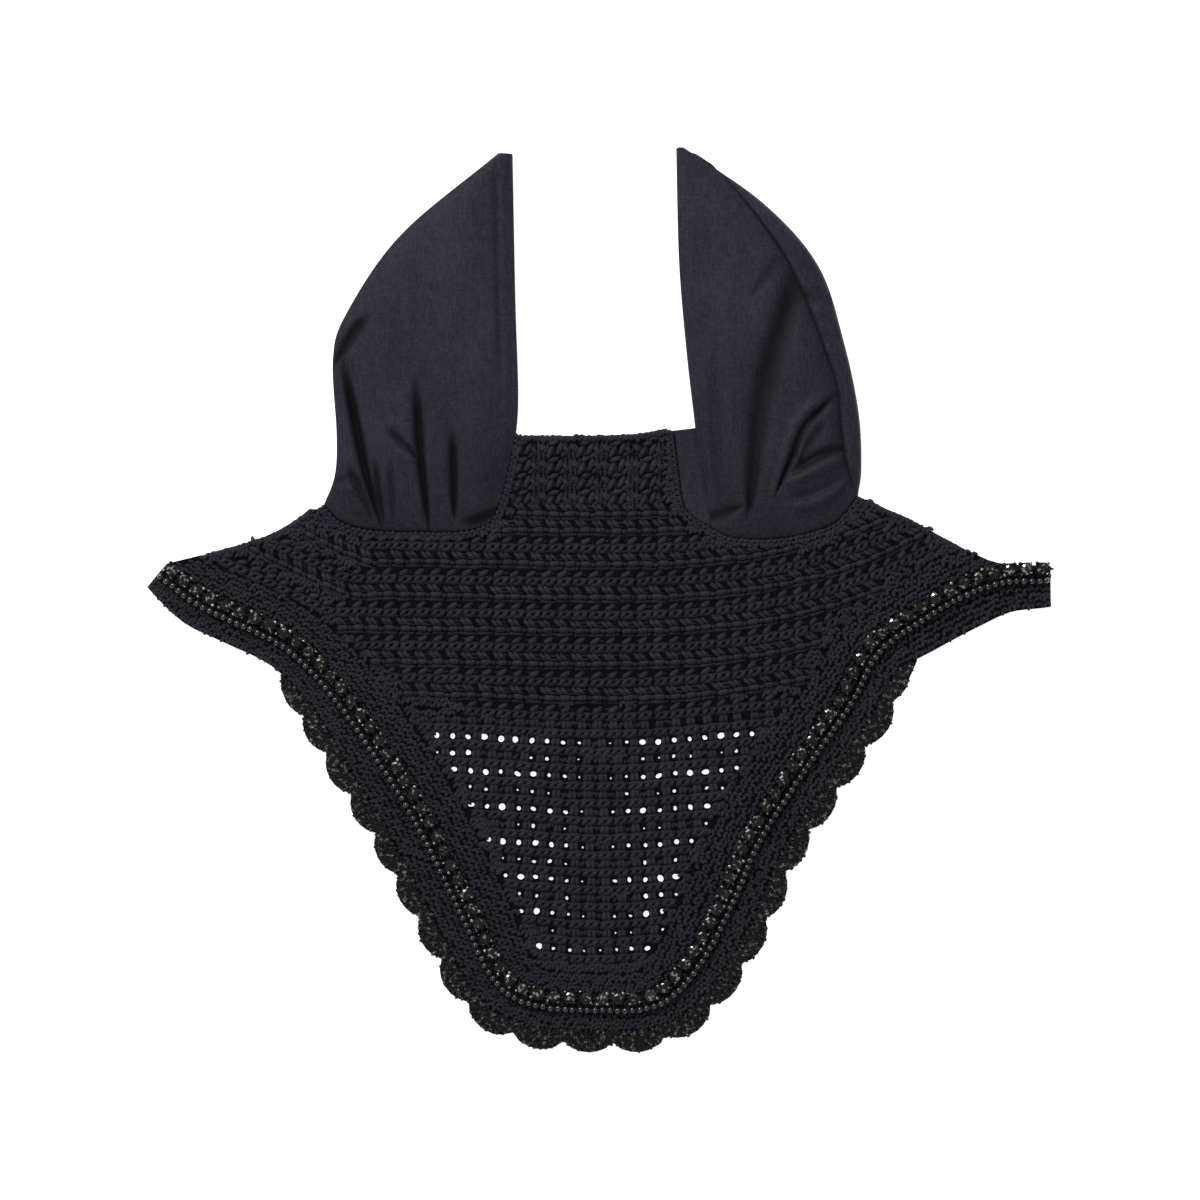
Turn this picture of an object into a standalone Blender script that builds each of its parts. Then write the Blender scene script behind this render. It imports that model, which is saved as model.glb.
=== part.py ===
"""Crocheted ear bonnet (fly veil) for a horse, laid flat with its ears toward +Y.

Metres, +Z up, and z = 0 is the surface that the bonnet lies on. X runs across the forehead. The net is worked
in yarn: a poll bridge, a close forehead yoke, an open forehead mesh, a border band in two strips and a scalloped
edging. A chain of set crystals and a string of beads are sewn along the border. Each ear is a cloth sleeve of a
front and a back panel, joined to the net by a row of chain stitches, and it folds about that row.
"""

import math

import bmesh
import bpy
from mathutils import Matrix, Vector

MM = 0.001

# Heights and thicknesses, in millimetres.
NET_THICK = 3.0
EDGING_THICK = 2.6
CLOTH_THICK = 1.2
GAP = 0.35
HINGE_Z = NET_THICK + GAP

# The border: x, y of the crystal line, then the reach of the inner strip and of the outer strip from it.
TRIM = [
    (-231, 18.5, 16, 15),
    (-212, 4, 16, 18),
    (-194, -5, 17, 18),
    (-164, -20, 17, 18),
    (-138, -46, 18, 18),
    (-114, -80, 19, 21),
    (-93, -114, 19, 21),
    (-68, -164, 19, 20),
    (-52, -197, 17, 18),
    (-34, -209, 13, 17),
    (0, -211.5, 12.5, 17),
    (28, -209.5, 13, 17),
    (47, -191, 17, 18),
    (64, -160, 19, 19),
    (78, -127, 19, 19),
    (100, -92, 19, 19),
    (127, -53, 18, 18.5),
    (143, -24, 17, 20),
    (165, -7, 17, 23),
    (191, 8, 17, 24),
    (214, 15.5, 12, 22),
    (239, 16.5, 8, 20),
]
TRIM_STEPS = 4
BAND_SPLIT = 4.0
SCALLOPS = 21
SCALLOP_PITCH = 24.5
SCALLOP_GROWTH = 0.07
SCALLOP_START = (-167, -41)
SCALLOP_FOOT = 6.0
SCALLOP_DEPTH = 5.5
SCALLOP_STEPS = 6

# The net's upper edges, from a wing's tip to its ear and across the poll.
WING_LEFT = [(-230, 19), (-208, 24.5), (-179, 33), (-162, 42), (-151, 51)]
WING_RIGHT = [(140, 55), (150, 49), (164, 43), (182, 33), (206, 21), (220, 18.5), (238, 18)]
POLL_TOP = [(-41.5, 87), (-5, 87), (20, 88), (35.5, 91)]
POLL_FOOT_Y = 44.0
YOKE_FOOT = [(-130, -53), (-60, -61), (0, -64), (60, -62), (130, -53)]

# Each ear's own edges, from its base to its tip, its base seam from the poll outward, and its back panel's hem.
EARS = {
    "left": {
        "inner": [(-58, 41), (-53, 52), (-48, 72), (-44.5, 90), (-43.5, 112), (-45, 160), (-46.5, 237)],
        "outer": [(-147, 50), (-141, 66), (-140, 88), (-142, 128), (-135, 152), (-106, 194), (-54, 237.5)],
        "base": [(-58, 41), (-72, 36.5), (-95, 36), (-122, 37), (-138, 41.5), (-147, 50)],
        "poll_side": [(-44.5, 88), (-48, 72), (-53, 52), (-58, 41)],
        "hem_y": 72,
        "strip_width": 12,
        "turned_edge": 0,
    },
    "right": {
        "inner": [(59, 38), (57, 54), (52, 80), (50, 97), (46, 132), (42, 180), (40.5, 240)],
        "outer": [(137, 55), (139, 70), (137.5, 100), (129.5, 138), (116, 178), (87, 211), (44.5, 240.5)],
        "base": [(59, 38), (70, 33), (88, 32), (108, 34.5), (126, 41.5), (137, 55)],
        "poll_side": [(38.5, 90), (41, 70), (43.5, 52), (49, 44), (59, 38)],
        "hem_y": 74,
        "strip_width": 12,
        "turned_edge": 12,
    },
}
EAR_ROWS = 14
EAR_COLUMNS = 12
EAR_PUFF = 10.5
EAR_TIP_PUFF = 2.0
JOIN_RADIUS = 1.2

# The open mesh: rows of pinholes across the trapezoid below the yoke.
HOLE_ROWS = 13
HOLE_ROW_PITCH = 9.5
HOLE_PITCH = 8.3
HOLE_TOP_Y = -72.0
HOLE_SIZE = 2.8
HOLE_SAG = 2.0
HOLE_MARGIN = 3.5

# Crystals and beads.
CRYSTAL_PITCH = 8.5
CRYSTAL_SIDE = 7.2
CRYSTAL_TABLE = 4.6
CRYSTAL_HEIGHT = 3.0
CRYSTAL_LIFT = 0.2
CHAIN_WIDTH = 2.4
CHAIN_HEIGHT = 1.4
BEAD_PITCH = 3.95
BEAD_RADIUS = 1.85
BEAD_OFFSET = 6.2
BEAD_NECK = 0.25

COLOURS = {
    "navy_yarn": ((0.014, 0.014, 0.020, 1), 0.85, 0.0),
    "lurex_yarn": ((0.020, 0.020, 0.018, 1), 0.60, 0.3),
    "ear_cloth": ((0.028, 0.028, 0.036, 1), 0.70, 0.0),
    "smoky_crystal": ((0.25, 0.25, 0.24, 1), 0.10, 0.2),
    "jet_bead": ((0.005, 0.005, 0.006, 1), 0.12, 0.0),
}


def clear_scene():
    for obj in list(bpy.data.objects):
        bpy.data.objects.remove(obj, do_unlink=True)


def material(name):
    """The Principled material of this name, made the first time it is asked for."""
    found = bpy.data.materials.get(name)
    if found:
        return found
    colour, roughness, metallic = COLOURS[name]
    made = bpy.data.materials.new(name)
    made.use_nodes = True
    shader = made.node_tree.nodes["Principled BSDF"]
    shader.inputs["Base Color"].default_value = colour
    shader.inputs["Roughness"].default_value = roughness
    shader.inputs["Metallic"].default_value = metallic
    made.diffuse_color = colour
    return made


def add(name, data, material_name, place=(0, 0, 0)):
    """An object of this mesh or curve, in the bonnet's collection."""
    obj = bpy.data.objects.new(name, data)
    obj.location = Vector(place)
    bpy.data.collections["ear_bonnet"].objects.link(obj)
    data.materials.append(material(material_name))
    return obj


def smooth(points, steps):
    """A Catmull-Rom curve through the points, with this many steps between each two."""
    points = [Vector(p) for p in points]
    points = [2 * points[0] - points[1]] + points + [2 * points[-1] - points[-2]]
    path = []
    for a, b, c, d in zip(points, points[1:], points[2:], points[3:]):
        for i in range(steps):
            t = i / steps
            path.append(
                0.5 * (2 * b + (c - a) * t + (2 * a - 5 * b + 4 * c - d) * t**2 + (3 * (b - c) + d - a) * t**3)
            )
    path.append(points[-2])
    return path


def outward(path, i):
    """The unit normal on the right of the path at this sample."""
    along = path[min(i + 1, len(path) - 1)] - path[max(i - 1, 0)]
    return Vector((along[1], -along[0])).normalized()


def shifted(path, reach):
    """The path moved along its normals. reach is a distance, or a function of the sample."""
    moved = []
    for i, sample in enumerate(path):
        distance = reach(sample) if callable(reach) else reach
        moved.append(Vector(sample[:2]) + distance * outward(path, i))
    return moved


def nearest(path, point):
    """The index of the path's sample nearest to the point."""
    return min(range(len(path)), key=lambda i: (Vector(path[i][:2]) - Vector(point)).length)


def at_length(path, distance):
    """The place and the heading of the point this far along the path."""
    for a, b in zip(path, path[1:]):
        a, b = Vector(a[:2]), Vector(b[:2])
        step = (b - a).length
        if distance <= step:
            return a.lerp(b, distance / step), math.atan2(b.y - a.y, b.x - a.x)
        distance -= step
    return b, math.atan2(b.y - a.y, b.x - a.x)


def length_of(path):
    return sum((Vector(b[:2]) - Vector(a[:2])).length for a, b in zip(path, path[1:]))


def crossing(one, other):
    """Where two open paths cross: an index into each, and the point."""
    for i, (a, b) in enumerate(zip(one, one[1:])):
        for j, (c, d) in enumerate(zip(other, other[1:])):
            ab, cd, ac = b - a, d - c, c - a
            turn = ab.x * cd.y - ab.y * cd.x
            if abs(turn) < 1e-12:
                continue
            s = (ac.x * cd.y - ac.y * cd.x) / turn
            t = (ac.x * ab.y - ac.y * ab.x) / turn
            if 0 <= s <= 1 and 0 <= t <= 1:
                return i, j, a + s * ab
    raise ValueError("the paths don't cross")


def plate(name, outline, low, high, material_name):
    """A flat piece of this outline, between two heights."""
    curve = bpy.data.curves.new(name, "CURVE")
    curve.dimensions = "2D"
    curve.fill_mode = "BOTH"
    curve.extrude = (high - low) / 2 * MM
    spline = curve.splines.new("POLY")
    spline.points.add(len(outline) - 1)
    for point, place in zip(spline.points, outline):
        point.co = (place[0] * MM, place[1] * MM, 0, 1)
    spline.use_cyclic_u = True
    return add(name, curve, material_name, (0, 0, (low + high) / 2 * MM))


def tube(name, path, height, radius, material_name, swell=None):
    """A round cord along the path. swell gives each sample its share of the radius."""
    curve = bpy.data.curves.new(name, "CURVE")
    curve.dimensions = "3D"
    curve.bevel_depth = radius * MM
    curve.bevel_resolution = 1
    curve.use_fill_caps = True
    spline = curve.splines.new("POLY")
    spline.points.add(len(path) - 1)
    for i, (point, place) in enumerate(zip(spline.points, path)):
        point.co = (place[0] * MM, place[1] * MM, height * MM, 1)
        point.radius = swell[i] if swell else 1
    return add(name, curve, material_name)


def into_mesh(obj):
    """The object with its curve turned into a mesh."""
    mesh = bpy.data.meshes.new_from_object(obj.evaluated_get(bpy.context.evaluated_depsgraph_get()))
    work = bmesh.new()
    work.from_mesh(mesh)
    bmesh.ops.remove_doubles(work, verts=work.verts, dist=1e-6)
    bmesh.ops.recalc_face_normals(work, faces=work.faces)
    work.to_mesh(mesh)
    work.free()
    name, place = obj.name, obj.location.copy()
    bpy.data.objects.remove(obj, do_unlink=True)
    made = bpy.data.objects.new(name, mesh)
    made.location = place
    bpy.data.collections["ear_bonnet"].objects.link(made)
    return made


def helper(name, build):
    """A hidden mesh object for a Boolean, from a function that fills a bmesh."""
    work = bmesh.new()
    build(work)
    bmesh.ops.recalc_face_normals(work, faces=work.faces)
    mesh = bpy.data.meshes.new(name)
    work.to_mesh(mesh)
    work.free()
    obj = bpy.data.objects.new(name, mesh)
    obj.hide_render = True
    obj.display_type = "WIRE"
    bpy.data.collections["cutters"].objects.link(obj)
    return obj


def combine(obj, other, operation):
    modifier = obj.modifiers.new(operation.lower(), "BOOLEAN")
    modifier.operation = operation
    modifier.solver = "EXACT"
    modifier.object = other


def seam_path(ear):
    """The edge of the sleeve where it meets the net, down the poll's side and out along the base."""
    return smooth(ear["poll_side"], 3)[:-1] + smooth(ear["base"], 3)


def side(sign, path, distance):
    """The seam path moved away from the sleeve. The left ear's path runs the other way round."""
    return shifted(path, distance if sign > 0 else -distance)


def net_outlines():
    """The outlines of the poll bridge, yoke, mesh and inner strip."""
    trim = smooth(TRIM, TRIM_STEPS)
    inner_seam = shifted(trim, lambda sample: -sample[2])
    net_seam = shifted(trim, lambda sample: -sample[2] - GAP)
    left_top, right_top = smooth(WING_LEFT, 3), smooth(WING_RIGHT, 3)
    away = 2 * (JOIN_RADIUS + GAP)
    left_notch = side(-1, seam_path(EARS["left"]), away)
    right_notch = side(1, seam_path(EARS["right"]), away)
    poll_foot = [Vector((-200, POLL_FOOT_Y)), Vector((200, POLL_FOOT_Y))]
    yoke_top = [Vector((-200, POLL_FOOT_Y - GAP)), Vector((200, POLL_FOOT_Y - GAP))]

    i, _, left_foot = crossing(left_notch, poll_foot)
    j, _, right_foot = crossing(right_notch, poll_foot)
    poll = smooth(POLL_TOP, 3) + right_notch[1 : j + 1] + [right_foot, left_foot] + left_notch[i:0:-1]

    i, _, left_corner = crossing(left_notch, yoke_top)
    j, _, right_corner = crossing(right_notch, yoke_top)
    a, b, left_tip = crossing(net_seam, left_top)
    c, d, right_tip = crossing(net_seam[::-1], right_top)
    foot = smooth(YOKE_FOOT, 4)
    e, f, left_foot = crossing(net_seam[: len(trim) // 2], foot)
    g, h, right_foot = crossing(net_seam[: len(trim) // 2 : -1], foot)
    last = len(trim) - 1
    yoke = (
        [left_tip] + left_top[b + 1 : -1] + left_notch[:i:-1] + [left_corner, right_corner]
        + right_notch[j + 1 :] + right_top[1 : d + 1] + [right_tip]
        + net_seam[last - c - 1 : last - g - 1 : -1] + [right_foot] + foot[h:f:-1] + [left_foot]
        + net_seam[e : a : -1]
    )
    below = [point - Vector((0, GAP)) for point in foot]
    e, f, left_foot = crossing(net_seam[: len(trim) // 2], below)
    g, h, right_foot = crossing(net_seam[: len(trim) // 2 : -1], below)
    mesh = [left_foot] + below[f + 1 : h + 1] + [right_foot] + net_seam[last - g - 1 : e : -1]

    split = shifted(trim, BAND_SPLIT)
    a, b, left_tip = crossing(inner_seam, left_top)
    c, d, right_tip = crossing(inner_seam[::-1], right_top)
    inner = split + right_top[:d:-1] + [right_tip] + inner_seam[last - c - 1 : a : -1] + [left_tip] + left_top[b::-1]
    return {"poll_bridge": poll, "forehead_yoke": yoke, "forehead_mesh": mesh, "border_band_inner": inner}


def make_net():
    outlines = net_outlines()
    for name, outline in outlines.items():
        plate(name, outline, 0, NET_THICK, "navy_yarn")
    trim = smooth(TRIM, TRIM_STEPS)
    outer = shifted(trim, BAND_SPLIT + GAP) + shifted(trim, lambda sample: sample[3])[::-1]
    plate("border_band_outer", outer, 0, NET_THICK, "navy_yarn")
    pierce_mesh(outlines["forehead_mesh"])


def inside(outline, point, margin):
    """Whether the point lies in the outline, at least this far from its edge."""
    odd = False
    for a, b in zip(outline, outline[1:] + outline[:1]):
        if (a.y > point.y) != (b.y > point.y):
            odd ^= point.x < a.x + (point.y - a.y) * (b.x - a.x) / (b.y - a.y)
        along = b - a
        t = max(0, min(1, (point - a).dot(along) / max(along.length_squared, 1e-9)))
        if (a + t * along - point).length < margin:
            return False
    return odd


def pierce_mesh(outline):
    """Cuts the rows of pinholes, which sag a little between the borders."""
    holes = []
    for row in range(HOLE_ROWS):
        for column in range(-12, 13):
            x = (column + 0.5 * (row % 2)) * HOLE_PITCH
            sag = HOLE_SAG * math.cos(x / 90 * math.pi / 2) * row / HOLE_ROWS
            place = Vector((x, HOLE_TOP_Y - row * HOLE_ROW_PITCH - sag))
            if inside(outline, place, HOLE_MARGIN):
                holes.append(place)

    def build(work):
        for place in holes:
            made = bmesh.ops.create_cube(work, size=1)
            bmesh.ops.scale(work, vec=Vector((HOLE_SIZE, HOLE_SIZE, 3 * NET_THICK)) * MM, verts=made["verts"])
            bmesh.ops.translate(work, vec=Vector((place.x, place.y, 0)) * MM, verts=made["verts"])

    mesh = into_mesh(bpy.data.objects["forehead_mesh"])
    combine(mesh, helper("pinholes", build), "DIFFERENCE")


def make_scallops():
    """The shell edging: arches along the outer strip, meeting in cusps and a little longer toward the right."""
    trim = smooth(TRIM, TRIM_STEPS)
    edge = shifted(trim, lambda sample: sample[3] + GAP)
    edge = edge[nearest(edge, SCALLOP_START) :]
    base, bumps = [], []
    for i in range(SCALLOPS * SCALLOP_STEPS + 1):
        share = i / SCALLOP_STEPS
        place, heading = at_length(edge, share * (SCALLOP_PITCH + SCALLOP_GROWTH * share))
        at_end = min(1, share, SCALLOPS - share)
        reach = SCALLOP_FOOT * at_end + SCALLOP_DEPTH * abs(math.sin(math.pi * share)) ** 0.7
        out = Vector((math.sin(heading), -math.cos(heading)))
        bumps.append(place + max(reach, 0.6) * out)
        base.append(place)
    plate("scalloped_edging", base + bumps[::-1], 0, EDGING_THICK, "lurex_yarn")


def make_crystal_chain():
    """The chain's strip with every set crystal joined on."""
    trim = smooth(TRIM, TRIM_STEPS)
    outline = shifted(trim, CHAIN_WIDTH / 2) + shifted(trim, -CHAIN_WIDTH / 2)[::-1]
    low = NET_THICK + GAP
    chain = into_mesh(plate("crystal_chain", outline, low, low + CHAIN_HEIGHT, "smoky_crystal"))
    total = length_of(trim)
    count = round(total / CRYSTAL_PITCH)

    def build(work):
        for i in range(count):
            place, heading = at_length(trim, total * (i + 0.5) / count)
            made = bmesh.ops.create_cone(
                work, cap_ends=True, segments=4, radius1=CRYSTAL_SIDE * math.sqrt(0.5) * MM,
                radius2=CRYSTAL_TABLE * math.sqrt(0.5) * MM, depth=CRYSTAL_HEIGHT * MM,
            )
            turn = Matrix.Rotation(heading + math.pi / 4, 3, "Z")
            bmesh.ops.rotate(work, matrix=turn, verts=made["verts"])
            up = (low + CRYSTAL_LIFT + CRYSTAL_HEIGHT / 2) * MM
            bmesh.ops.translate(work, vec=(place.x * MM, place.y * MM, up), verts=made["verts"])

    combine(chain, helper("crystals", build), "UNION")


def make_bead_string():
    """Beads on their thread: one cord that swells at each bead."""
    trim = smooth(TRIM, TRIM_STEPS)
    line = shifted(trim, BEAD_OFFSET)
    total = length_of(line)
    count = round(total / BEAD_PITCH)
    path, swell = [], []
    for i in range(2 * count + 1):
        place, _ = at_length(line, total * i / (2 * count))
        path.append(place)
        swell.append(1 if i % 2 else BEAD_NECK)
    tube("bead_string", path, NET_THICK + GAP + BEAD_RADIUS, BEAD_RADIUS, "jet_bead", swell)


def coons(inner, outer, base, tip, u, v):
    """A point of the patch between four edge curves. u runs from inner to outer, and v from base to tip."""

    def on(path, t):
        place = t * (len(path) - 1)
        i = min(int(place), len(path) - 2)
        return Vector(path[i]).lerp(Vector(path[i + 1]), place - i)

    corners = (1 - u) * (1 - v) * on(base, 0) + u * (1 - v) * on(base, 1)
    corners += (1 - u) * v * on(tip, 0) + u * v * on(tip, 1)
    return (1 - v) * on(base, u) + v * on(tip, u) + (1 - u) * on(inner, v) + u * on(outer, v) - corners


def even(points, count):
    """The smooth curve through the points, sampled at equal steps of its length."""
    path = smooth(points, 8)
    total = length_of(path)
    return [at_length(path, total * i / count)[0] for i in range(count + 1)]


def make_ear_front(name, ear):
    """The arched front panel: a patch between the ear's edges, thickened inward."""
    inner, outer, base = (even(ear[key], 40) for key in ("inner", "outer", "base"))
    outer = [p - Vector((turned_edge(ear, i / 40), 0)) for i, p in enumerate(outer)]
    tip = [inner[-1], outer[-1]]
    rim = CLOTH_THICK + GAP + CLOTH_THICK
    work = bmesh.new()
    bmesh.ops.create_grid(work, x_segments=EAR_COLUMNS, y_segments=EAR_ROWS, size=0.5)
    for vert in work.verts:
        u, v = vert.co.x + 0.5, vert.co.y + 0.5
        place = coons(inner, outer, base, tip, u, v)
        puff = EAR_PUFF * (1 - v) + EAR_TIP_PUFF * v
        rise = puff * (1 - abs(2 * u - 1) ** 3) * min(1, v / 0.12) ** 0.6
        vert.co = Vector((place.x, place.y, rim + rise)) * MM
    bmesh.ops.recalc_face_normals(work, faces=work.faces)
    if sum(face.normal.z for face in work.faces) < 0:
        bmesh.ops.reverse_faces(work, faces=work.faces)
    mesh = bpy.data.meshes.new(name)
    work.to_mesh(mesh)
    work.free()
    obj = add(name, mesh, "ear_cloth")
    solid = obj.modifiers.new("thickness", "SOLIDIFY")
    solid.thickness = CLOTH_THICK * MM
    solid.offset = -1
    return obj


def turned_edge(ear, t):
    """How far the front panel stops short of the outer edge, where the back panel is turned over it."""
    return ear["turned_edge"] * math.sin(math.pi * min(1, max(0, (t - 0.12) / 0.86))) ** 0.6


def make_ear_back(name, ear):
    """The flat back panel: the ear's outline above its hem, and a strip down the poll's side."""
    sign = 1 if ear["outer"][0][0] > 0 else -1
    inner = [p for p in even(ear["inner"], 30) if p.y > ear["poll_side"][0][1]]
    outer = [p for p in even(ear["outer"], 30) if p.y > ear["hem_y"]]
    edge = [p for p in smooth(ear["poll_side"], 3) if p.y > 46]
    strip = [p + Vector((sign * ear["strip_width"], 0)) for p in edge if p.y < ear["hem_y"] - 4]
    outline = inner[::-1] + edge + strip[::-1] + outer
    plate(name, outline, 0, CLOTH_THICK, "ear_cloth")


def make_join_chain(name, ear):
    """The row of chain stitches that joins the sleeve to the net."""
    sign = 1 if ear["outer"][0][0] > 0 else -1
    path = side(sign, seam_path(ear), JOIN_RADIUS + GAP)
    tube(name, path, JOIN_RADIUS + GAP, JOIN_RADIUS, "navy_yarn")


def hang_on_hinge(hand, ear):
    """Puts the ear's panels on an empty that stands on the fold line."""
    hinge = bpy.data.objects.new(f"ear_fold_{hand}", None)
    base = ear["base"]
    middle_x = (base[0][0] + base[-1][0]) / 2
    hinge.location = Vector((middle_x, min(y for _, y in base), HINGE_Z)) * MM
    bpy.data.collections["ear_bonnet"].objects.link(hinge)
    bpy.context.view_layer.update()
    for part in ("front", "back"):
        panel = bpy.data.objects[f"ear_{part}_{hand}"]
        panel.parent = hinge
        panel.matrix_parent_inverse = hinge.matrix_world.inverted()


def main():
    clear_scene()
    for name in ("ear_bonnet", "cutters"):
        collection = bpy.data.collections.new(name)
        bpy.context.scene.collection.children.link(collection)
    make_net()
    make_scallops()
    make_crystal_chain()
    make_bead_string()
    for hand, ear in EARS.items():
        make_ear_front(f"ear_front_{hand}", ear)
        make_ear_back(f"ear_back_{hand}", ear)
        make_join_chain(f"ear_join_{hand}", ear)
        hang_on_hinge(hand, ear)
    for obj in bpy.data.collections["ear_bonnet"].objects:
        if obj.type == "MESH":
            obj.data.shade_smooth()


main()
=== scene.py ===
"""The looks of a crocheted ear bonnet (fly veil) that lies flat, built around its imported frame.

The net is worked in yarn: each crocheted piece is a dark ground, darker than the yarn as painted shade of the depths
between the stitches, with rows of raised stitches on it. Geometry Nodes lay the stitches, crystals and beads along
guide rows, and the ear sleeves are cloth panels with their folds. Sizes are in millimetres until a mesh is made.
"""

import math
import random

import bmesh
import bpy
from mathutils import Matrix, Vector, noise


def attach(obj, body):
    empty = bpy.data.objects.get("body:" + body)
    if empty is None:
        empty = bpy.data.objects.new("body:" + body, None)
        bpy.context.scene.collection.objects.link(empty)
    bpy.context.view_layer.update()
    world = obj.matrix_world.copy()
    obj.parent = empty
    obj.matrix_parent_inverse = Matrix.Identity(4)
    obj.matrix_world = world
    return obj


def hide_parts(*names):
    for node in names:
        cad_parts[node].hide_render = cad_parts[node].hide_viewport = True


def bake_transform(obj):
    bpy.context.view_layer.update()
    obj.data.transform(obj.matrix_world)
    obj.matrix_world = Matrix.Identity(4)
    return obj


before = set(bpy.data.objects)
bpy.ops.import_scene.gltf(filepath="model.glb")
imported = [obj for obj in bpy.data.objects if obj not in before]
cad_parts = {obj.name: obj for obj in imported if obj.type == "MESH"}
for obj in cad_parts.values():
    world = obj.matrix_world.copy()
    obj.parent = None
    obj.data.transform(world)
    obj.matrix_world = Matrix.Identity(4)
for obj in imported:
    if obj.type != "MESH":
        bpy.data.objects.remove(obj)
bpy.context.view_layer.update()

MM = 0.001
# The camera's height, the width that it sees and the place of the key light, in metres.
CAMERA_HEIGHT = 2.6
VIEW_WIDTH = 0.6384
KEY_LIGHT = (-0.7, 1.3, 1.5)

# The border, as in the CAD: x, y of the crystal line, then the reach of the inner strip and of the outer strip. The
# strips meet at their split, on the crystal line's right.
TRIM = [
    (-231, 18.5, 16, 15), (-212, 4, 16, 18), (-194, -5, 17, 18), (-164, -20, 17, 18), (-138, -46, 18, 18),
    (-114, -80, 19, 21), (-93, -114, 19, 21), (-68, -164, 19, 20), (-52, -197, 17, 18), (-34, -209, 13, 17),
    (0, -211.5, 12.5, 17), (28, -209.5, 13, 17), (47, -191, 17, 18), (64, -160, 19, 19), (78, -127, 19, 19),
    (100, -92, 19, 19), (127, -53, 18, 18.5), (143, -24, 17, 20), (165, -7, 17, 23), (191, 8, 17, 24),
    (214, 15.5, 12, 22), (239, 16.5, 8, 20),
]
TRIM_STEPS = 4
BAND_SPLIT = 4.0
SCALLOPS = 21
SCALLOP_PITCH = 24.5
SCALLOP_GROWTH = 0.07
SCALLOP_FOOT = 6.0
SCALLOP_DEPTH = 5.5
NET_TOP = 3.35

# Each crocheted piece's ground: how far it reaches past the outline, its underside and its top.
GROUNDS = {
    "yoke": (0.45, 0.9, 1.4),
    "mesh": (0.45, 1.0, 1.5),
    "poll": (0.45, 0.95, 1.45),
    "inner_band": (0.45, 0.85, 1.8),
    "outer_band": (0.45, 0.8, 1.75),
    "scallop": (0.3, 0.75, 1.25),
}
# Each border strip: its node and name, the place of its free edge at a sample, its rows, their inset and their seed.
BANDS = (
    ("border_band_inner", "inner_band", lambda sample: -sample[2], 8, 0.7, 21),
    ("border_band_outer", "outer_band", lambda sample: sample[3], 6, 0.6, 22),
)
# How deep in the edging each row of its shells lies.
SHELL_ROWS = (1.5, 3.3, 5.1)

WING_LEFT = [(-230, 19), (-208, 24.5), (-179, 33), (-162, 42), (-151, 51)]
WING_RIGHT = [(140, 55), (150, 49), (164, 43), (182, 33), (206, 21), (220, 18.5), (238, 18)]
POLL_TOP = [(-41.5, 87), (-5, 87), (20, 88), (35.5, 91)]
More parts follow.
